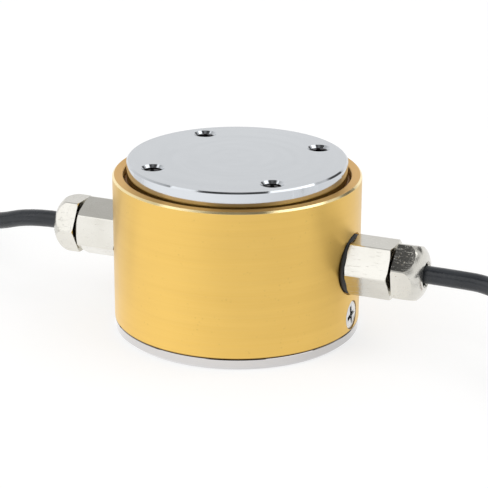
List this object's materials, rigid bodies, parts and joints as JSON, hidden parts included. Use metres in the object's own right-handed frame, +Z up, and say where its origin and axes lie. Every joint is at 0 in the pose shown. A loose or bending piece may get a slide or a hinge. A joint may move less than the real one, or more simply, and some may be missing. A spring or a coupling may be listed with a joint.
{
  "type": "multi-axis force sensor",
  "caption": "Round force and torque sensor: steel elastic body in a gold sleeve, tapped holes in both faces, a hexagonal cable gland with its coiled cable on each side.",
  "frame": {"origin": "middle of the underside that the sensor stands on", "axes": "+Z up out of the loading face, +X along the two cable glands"},
  "size_m": [0.327, 0.0701, 0.0494],
  "materials": {
    "steel": "ground and polished stainless steel",
    "gold": "gold anodised, fine turned",
    "nickel": "bright nickel on brass",
    "screw_steel": "plain stainless steel",
    "seal_rubber": "black rubber",
    "claw_plastic": "dark nylon",
    "board": "green laminate with solder resist",
    "resistor": "small black chips",
    "gauge_foil": "amber film with metal foil",
    "fine_wire": "enamelled copper",
    "jacket": "smooth black cable jacket",
    "tie": "black hook-and-loop strap",
    "wire_red": "red insulation",
    "wire_black": "black insulation",
    "wire_green": "green insulation",
    "wire_white": "white insulation"
  },
  "bodies": {
    "root": {"base_seal_ring": "seal_rubber", "board_screws": "screw_steel", "cable_coil_left": "jacket", "cable_coil_right": "jacket", "cable_left": "jacket", "cable_right": "jacket", "coil_tie_left": "tie", "coil_tie_right": "tie", "core_black_left": "wire_black", "core_black_right": "wire_black", "core_green_left": "wire_green", "core_green_right": "wire_green", "core_red_left": "wire_red", "core_red_right": "wire_red", "core_white_left": "wire_white", "core_white_right": "wire_white", "dust_seal_ring": "seal_rubber", "elastic_body": "steel", "gland_body_left": "nickel", "gland_body_right": "nickel", "gland_claw_left": "claw_plastic", "gland_claw_right": "claw_plastic", "gland_nut_left": "nickel", "gland_nut_right": "nickel", "gland_seal_left": "seal_rubber", "gland_seal_right": "seal_rubber", "gland_washer_left": "seal_rubber", "gland_washer_right": "seal_rubber", "housing_sleeve": "gold", "lead_black_left": "wire_black", "lead_black_right": "wire_black", "lead_green_left": "wire_green", "lead_green_right": "wire_green", "lead_red_left": "wire_red", "lead_red_right": "wire_red", "lead_white_left": "wire_white", "lead_white_right": "wire_white", "sleeve_screw_left": "screw_steel", "sleeve_screw_right": "screw_steel", "thrust_gauge_back": "gauge_foil", "thrust_gauge_front": "gauge_foil", "thrust_gauge_leads": "fine_wire", "torque_gauge_leads": "fine_wire", "torque_gauge_left": "gauge_foil", "torque_gauge_right": "gauge_foil", "trim_resistors": "resistor", "wiring_board_left": "board", "wiring_board_right": "board"}
  },
  "joints": []
}
